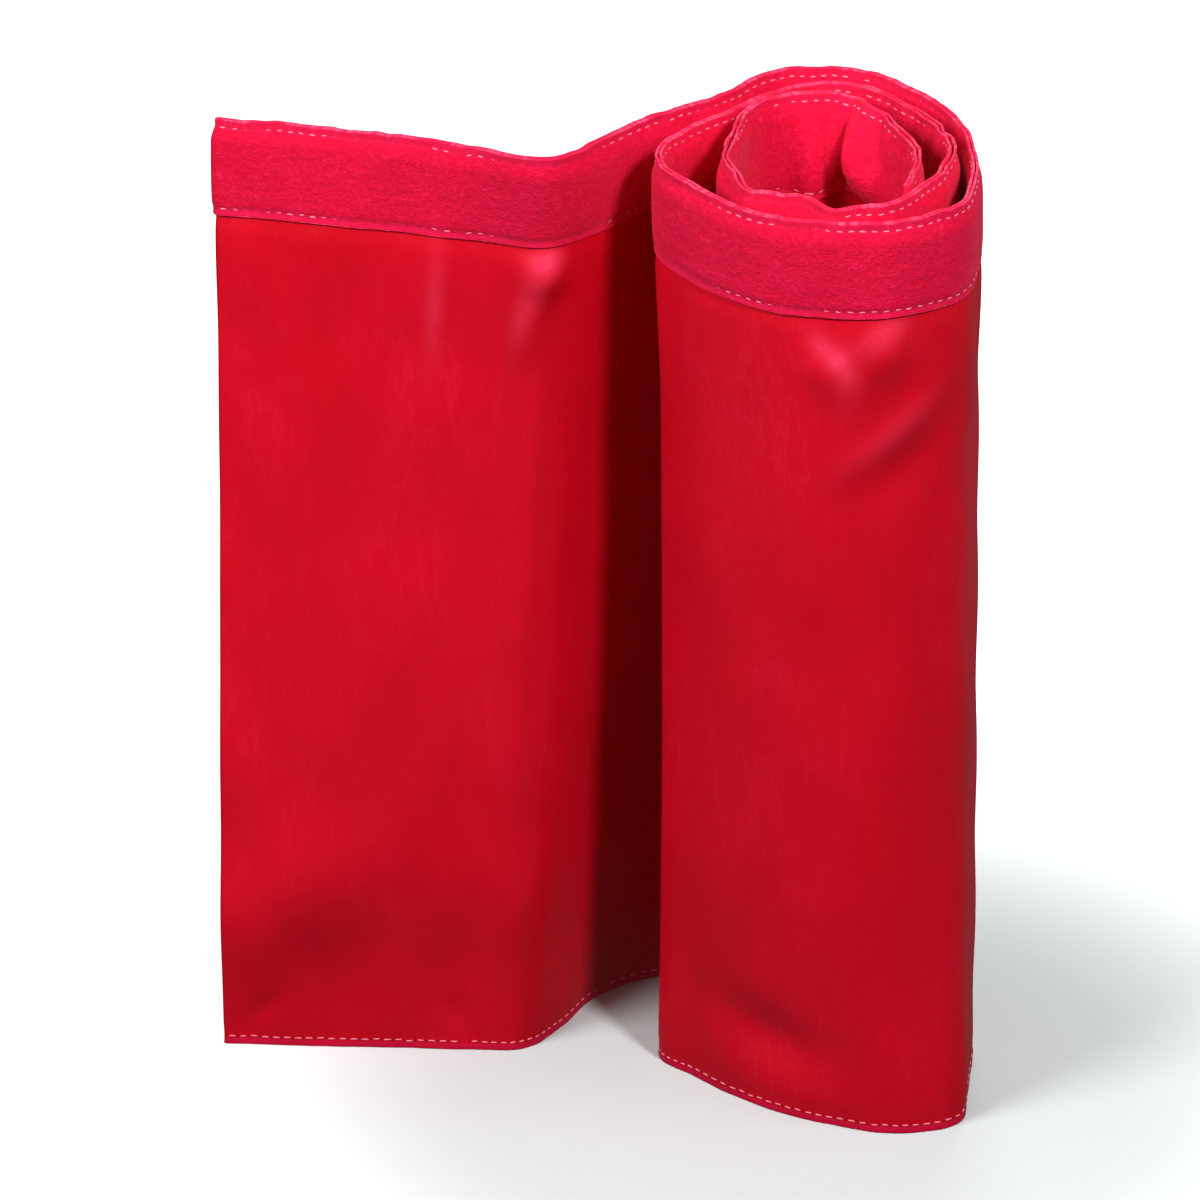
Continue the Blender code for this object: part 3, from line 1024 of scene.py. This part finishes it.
@dataclass
class Blanket:
    """The whole blanket: every ply and every row of stitches, stretch by stretch."""

    route: Route
    cloth: ClothSizes
    sandwich: Sandwich
    cell: float = 0.0027
    tape_cell: float = 0.0017
    skin_rows: int = 150
    tape_rows: int = 34
    bend_reach: float = 0.028
    materials: dict[str, bpy.types.Material] = field(default_factory=dict)

    def stretches(self) -> list[Stretch]:
        """Cut the cloth at the middle of each panel, so that each stretch has one hinge."""
        _, bend, middle, end = (length for _, length in self.route.sizes.tail)
        end_at = end
        bend_at = end + middle + bend / 2
        root_at = self.route.tail_length
        peel_at = self.route.along(self.route.sizes.peel_angle)
        flap_at = self.route.along(self.route.sizes.flap_angle)
        half = self.route.along(400.0)
        cut_one = (end_at + bend_at) / 2
        cut_two = (bend_at + root_at) / 2
        cut_three = (root_at + peel_at) / 2
        reach = self.bend_reach
        return [
            Stretch("tail_end", 0.0, cut_one, ("tail_end", "tail_mid"),
                    (end_at - reach, end_at + reach), ("tail_end",)),
            Stretch("tail_bend", cut_one, cut_two, ("tail_mid", "tail_near"),
                    (bend_at - reach, bend_at + reach), ("tail_mid",)),
            Stretch("tail_root", cut_two, cut_three, ("tail_near", "wrap_back"),
                    (root_at - reach, root_at + reach), ("tail_near",)),
            Stretch("outer_wrap", cut_three, peel_at + 2 * reach, ("wrap_back", "roll"),
                    (peel_at - reach, peel_at + reach), ("wrap_back",)),
            Stretch("first_turn", peel_at + 2 * reach, half, ("roll",), None, ("roll",)),
            Stretch("second_turn", half, flap_at - 2 * reach, ("roll",), None, ()),
            Stretch("core_end", flap_at - 2 * reach, self.route.length, ("roll", "core_flap"),
                    (flap_at - reach, flap_at + reach), ("core_flap",)),
        ]

    def build(self) -> list[bpy.types.Object]:
        """Build every piece of every stretch.

        Returns:
            The finished pieces.
        """
        self.materials = {
            "coated_skin": CoatedSkin(self.cloth).material(),
            "loop_tape": LoopTape(self.cloth).material(),
            "woven_core": WovenCore().material(),
            "sewing_thread": SewingThread().material(),
        }
        made = []
        for stretch in self.stretches():
            made.extend(self._plies(stretch))
            made.extend(self._rows(stretch))
        return made

    def _reach_round(self, stretch: Stretch, face: Face) -> tuple[float, float]:
        """Let the covering face reach round the cloth's free ends, and hold the other back."""
        start, end = stretch.start, stretch.end
        covered = self.cloth.wrap_return + 0.00015
        around = self.sandwich.wrap_arc + self.cloth.wrap_return
        if start == 0.0:
            start += -around if face is Face.INNER else covered
        if end == self.route.length:
            end += around if face is Face.OUTER else -covered
        return start, end

    def _plies(self, stretch: Stretch) -> list[bpy.types.Object]:
        """Build one stretch's plies."""
        cloth = self.cloth
        tape_back = cloth.skin_back + cloth.skin + cloth.tape_gap
        low = 0.0002
        plies = [
            ("core_cloth", Face.OUTER, (cloth.core_inset, cloth.height - cloth.core_inset),
             -cloth.core / 2, cloth.core, 60, 0.0002, "woven_core"),
        ]
        for face in Face:
            side = face.name.lower()
            plies.append((f"{side}_skin", face, (low, cloth.height - cloth.skin_inset), cloth.skin_back,
                          cloth.skin, self.skin_rows, 0.00018, "coated_skin"))
            plies.append((f"{side}_tape", face, (cloth.tape_foot, cloth.height), tape_back,
                          cloth.tape, self.tape_rows, 0.00036, "loop_tape"))
        made = []
        for part, face, levels, back, thickness, rows, bevel, slot in plies:
            free = (stretch.start == 0.0, stretch.end == self.route.length)
            if part == "core_cloth":
                inset = cloth.core_inset
                span = (stretch.start + inset * free[0], stretch.end - inset * free[1])
            else:
                span = self._reach_round(stretch, face)
            looped = slot == "loop_tape"
            cell = self.tape_cell if looped else self.cell
            columns = max(4, round((span[1] - span[0]) / cell))
            name = f"{stretch.name}_{part}_cloth" if part != "core_cloth" else f"{stretch.name}_core"
            sheet = Sheet(
                name, span, levels, back, thickness, face, columns, rows, bevel, looped, free
            )
            piece = sheet.build(self.sandwich)
            self._attach(piece, stretch, slot, part)
            flat = (span[1] - span[0], levels[1] - levels[0])
            made.append(piece)
        return made

    def _rows(self, stretch: Stretch) -> list[bpy.types.Object]:
        """Sew one stretch's rows, on both faces."""
        cloth = self.cloth
        on_skin = cloth.skin_back + cloth.skin
        on_tape = on_skin + cloth.tape_gap + cloth.tape * cloth.selvedge_share
        made = []
        for row, height in cloth.row_heights.items():
            depth = on_skin if row == "hem_row" else on_tape
            for face in Face:
                name = f"{stretch.name}_{row}_{face.name.lower()}_stitches"
                span = (stretch.start, stretch.end)
                piece = StitchRow(name, height, face, span, depth).build(self.sandwich)
                if piece is None:
                    continue
                part = f"{row}_thread" if face is Face.OUTER else ""
                self._attach(piece, stretch, "sewing_thread", part)
                made.append(piece)
        return made

    def _attach(self, piece: bpy.types.Object, stretch: Stretch, slot: str, part: str) -> None:
        """Finish a piece, hang it on its body where it rides on one, and let it stand for its nodes."""
        piece.data.materials.clear()
        piece.data.materials.append(self.materials[slot])
        if stretch.bend is None:
            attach(piece, stretch.bodies[0])
        else:
            places, _, _ = self.route.at(np.array(stretch.bend))
            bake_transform(piece)
        if part:
            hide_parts(*(f"{panel}_{part}" for panel in stretch.stands_for))
        LOG.info("%s: %d faces", piece.name, len(piece.data.polygons))


# --------------------------------------------------------------------------- studio


@dataclass
class Studio:
    """The floor, the lights and the camera."""

    look_at: tuple[float, float, float] = (0.0003, 0.0, 0.2540)
    distance: float = 6.0
    elevation: float = 27.0
    view_width: float = 0.5848

    def build(self) -> None:
        """Set the studio up."""
        self._floor()
        self._world()
        self._area("right_key", (0.90, -1.44, 1.95), 0.34, 45.0)
        self._area("left_softbox", (-1.30, -1.05, 1.65), 1.00, 42.0)
        self._area("right_fill", (1.80, -0.50, 1.70), 0.90, 7.0)
        self._area("back_softbox", (0.30, 2.00, 1.50), 1.20, 22.0)
        self._area("top_softbox", (0.00, 0.10, 2.30), 1.20, 11.0)
        self._camera()

    def _floor(self) -> None:
        """Lay the floor."""
        deselect()
        bpy.ops.mesh.primitive_plane_add(size=30.0, location=(0.0, 0.0, 0.0))
        floor = bpy.context.object
        floor.name = "studio_floor"
        floor.data.materials.append(StudioFloor().material())
        floor.visible_diffuse = False
        floor.visible_glossy = False

    def _world(self) -> None:
        """Light everything softly from all round."""
        world = bpy.data.worlds.new("studio")
        bpy.context.scene.world = world
        world.use_nodes = True
        background = world.node_tree.nodes["Background"]
        background.inputs["Color"].default_value = (1.0, 1.0, 1.0, 1.0)
        background.inputs["Strength"].default_value = 0.07
        bpy.context.scene.view_settings.view_transform = "Standard"

    def _area(self, name: str, place: tuple[float, float, float], size: float, power: float) -> None:
        """Hang one soft light, facing the blanket's middle."""
        light = bpy.data.lights.new(name, "AREA")
        light.shape = "DISK"
        light.size = size
        light.energy = power
        lamp = bpy.data.objects.new(name, light)
        bpy.context.scene.collection.objects.link(lamp)
        lamp.location = place
        aim = Vector((0.02, 0.0, 0.25)) - Vector(place)
        lamp.rotation_euler = aim.to_track_quat("-Z", "Y").to_euler()

    def _camera(self) -> None:
        """Place the camera in front, a little above, with a long lens."""
        camera = bpy.data.objects.new("camera", bpy.data.cameras.new("camera"))
        bpy.context.scene.collection.objects.link(camera)
        rise_angle = math.radians(self.elevation)
        back = Vector((0.0, -math.cos(rise_angle), math.sin(rise_angle)))
        camera.location = Vector(self.look_at) + back * self.distance
        camera.rotation_euler = (-back).to_track_quat("-Z", "Y").to_euler()
        camera.data.sensor_width = 36.0
        camera.data.lens = 36.0 * self.distance / self.view_width
        camera.data.clip_end = 100.0
        bpy.context.scene.camera = camera


# --------------------------------------------------------------------------- main


FOLDS = (
    # the tail: puffs under the tape, a crisp bend, and a slanting bulge over its foot
    Fold(0.1065, 0.412, 0.045, 0.0060, 4.0, -0.0020),
    Fold(0.1560, 0.434, 0.010, 0.0075, 0.0, -0.0040),
    Fold(0.1490, 0.410, 0.032, 0.0060, 12.0, -0.0026),
    Fold(0.1480, 0.300, 0.260, 0.0080, 2.0, -0.0024),
    Fold(0.0290, 0.084, 0.070, 0.031, 50.0, -0.0076),
    Fold(0.0550, 0.165, 0.140, 0.078, 62.0, -0.0068),
    Fold(0.1150, 0.092, 0.058, 0.040, 84.0, -0.0046),
    Fold(0.0200, 0.022, 0.014, 0.006, 35.0, 0.0014),
    Fold(0.1160, 0.020, 0.014, 0.007, -20.0, 0.0016),
    # the roll: two pinched puffs under the tape, with creases running down from them
    Fold(0.5740, 0.421, 0.016, 0.0110, 30.0, 0.0034),
    Fold(0.5480, 0.430, 0.014, 0.0120, -35.0, 0.0028),
    Fold(0.5620, 0.400, 0.034, 0.0090, -6.0, 0.0012),
    Fold(0.5430, 0.387, 0.030, 0.0090, -49.0, 0.0020),
    Fold(0.5300, 0.372, 0.032, 0.0110, -49.0, -0.0014),
    Fold(0.6000, 0.042, 0.0360, 0.0170, 75.0, -0.0042),
    # the end inside: pleats pressed towards the hollow, with a deep valley between them
    Fold(1.1640, 0.452, 0.026, 0.0095, 12.0, -0.0120),
    Fold(1.1800, 0.474, 0.024, 0.0045, 12.0, -0.0070),
    Fold(1.1880, 0.480, 0.030, 0.0040, 15.0, 0.0020),
    Fold(1.2040, 0.474, 0.023, 0.0115, -30.0, -0.0175),
)
# painted highlights: pale pink patches over the puffs under the tape, where the lights' reflections would
# fall, each with its strength
HIGHLIGHT_SPOTS = (
    Fold(0.1065, 0.414, 0.030, 0.0038, 4.0, 0.35),
    Fold(0.1560, 0.4425, 0.0060, 0.0055, 20.0, 0.85),
    Fold(0.1490, 0.418, 0.022, 0.0034, 12.0, 0.45),
    Fold(0.5730, 0.431, 0.012, 0.0050, 42.0, 0.80),
    Fold(0.5490, 0.441, 0.013, 0.0055, -53.0, 0.62),
    Fold(0.5660, 0.422, 0.016, 0.0060, 5.0, 0.30),
    Fold(0.5430, 0.388, 0.026, 0.0055, -49.0, 0.32),
)
TOP_SHIFT = (
    (0.000, 0.0012, 0.0065),
    (0.034, 0.0010, 0.0052),
    (0.055, 0.0008, 0.0032),
    (0.075, 0.0005, 0.0008),
    (0.095, 0.0002, -0.0019),
    (0.115, 0.0000, -0.0046),
    (0.135, 0.0005, -0.0070),
    (0.156, 0.0050, -0.0104),
    (0.174, 0.0085, -0.0130),
    (0.190, 0.0090, -0.0122),
    (0.205, 0.0100, -0.0102),
    (0.230, 0.0090, -0.0122),
    (0.260, 0.0070, -0.0112),
    (0.285, 0.0020, -0.0030),
    (0.305, 0.0005, 0.0015),
    (0.325, 0.0000, 0.0009),
    (0.350, 0.0000, -0.0039),
    (0.375, -0.0010, -0.0082),
    (0.400, -0.0030, -0.0080),
    (0.425, -0.0040, -0.0055),
    (0.450, -0.0045, -0.0047),
    (0.475, -0.0040, -0.0050),
    (0.500, 0.0000, -0.0115),
    (0.525, 0.0000, -0.0095),
    (0.550, 0.0000, -0.0090),
    (0.575, 0.0000, -0.0085),
    (0.600, 0.0000, -0.0105),
    (0.625, -0.0010, -0.0080),
    (0.650, -0.0025, -0.0057),
    (0.675, -0.0080, -0.0030),
    (0.700, -0.0060, -0.0065),
    (0.725, -0.0010, -0.0065),
    (0.750, 0.0010, -0.0057),
    (0.775, 0.0000, -0.0041),
    (0.800, 0.0000, 0.0009),
    (0.825, 0.0000, -0.0025),
    (0.850, -0.0005, -0.0095),
    (0.875, -0.0014, -0.0095),
    (0.900, -0.0005, -0.0047),
    (0.925, -0.0050, -0.0122),
    (0.950, -0.0040, -0.0117),
    (0.975, -0.0005, -0.0180),
    (0.990, 0.0000, -0.0185),
    (1.000, 0.0000, -0.0220),
    (1.012, 0.0000, -0.0110),
    (1.025, 0.0000, -0.0150),
    (1.050, 0.0000, -0.0220),
    (1.070, 0.0020, -0.0120),
    (1.090, 0.0070, -0.0055),
    (1.110, 0.0060, -0.0070),
    (1.130, 0.0040, -0.0062),
    (1.150, 0.0010, -0.0093),
    (1.170, 0.0000, -0.0087),
    (1.190, 0.0000, -0.0067),
    (1.210, -0.0030, -0.0097),
    (1.235, -0.0045, -0.0125),
    (1.250, -0.0025, -0.0087),
    (1.270, -0.0065, -0.0125),
    (1.286, -0.0020, -0.0240),
)
FOOT_SHIFT = (
    (0.000, -0.0012, -0.0042),
    (0.048, -0.0007, -0.0007),
    (0.087, 0.0000, 0.0038),
    (0.120, 0.0000, 0.0063),
    (0.145, -0.0030, 0.0098),
    (0.156, -0.0060, 0.0115),
    (0.188, -0.0130, 0.0140),
    (0.219, -0.0200, 0.0240),
    (0.247, -0.0170, 0.0260),
    (0.280, -0.0080, 0.0150),
    (0.310, -0.0030, 0.0090),
    (0.350, 0.0000, 0.0048),
    (0.440, 0.0000, 0.0048),
    (0.465, -0.0020, 0.0000),
    (0.480, -0.0010, -0.0040),
    (0.500, 0.0045, -0.0110),
    (0.525, 0.0000, -0.0045),
    (0.545, 0.0000, 0.0040),
    (0.565, 0.0000, 0.0140),
    (0.590, 0.0015, 0.0195),
    (0.625, 0.0030, 0.0228),
    (0.650, 0.0000, 0.0235),
    (0.675, -0.0045, 0.0150),
    (0.700, -0.0040, 0.0080),
    (0.730, -0.0010, 0.0048),
    (0.960, 0.0000, 0.0048),
    (0.985, 0.0010, 0.0080),
    (1.010, 0.0020, 0.0130),
    (1.035, 0.0020, 0.0180),
    (1.065, 0.0010, 0.0160),
    (1.090, 0.0000, 0.0080),
    (1.115, 0.0000, 0.0048),
    (1.286, 0.0000, 0.0048),
)


def main() -> None:
    """Build the blanket around the frame, light it and point the camera at it."""
    logging.basicConfig(level=logging.INFO, format="%(name)s %(message)s")
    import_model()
    cloth = ClothSizes()
    route = Route(RouteSizes())
    LOG.info("the cloth is %.3f m long", route.length)
    drape = Drape(route, cloth, FOLDS, TOP_SHIFT, FOOT_SHIFT, HIGHLIGHT_SPOTS)
    pieces = Blanket(route, cloth, Sandwich(cloth, drape)).build()
    LOG.info("%d pieces", len(pieces))
    Studio().build()


if __name__ == "__main__":
    main()
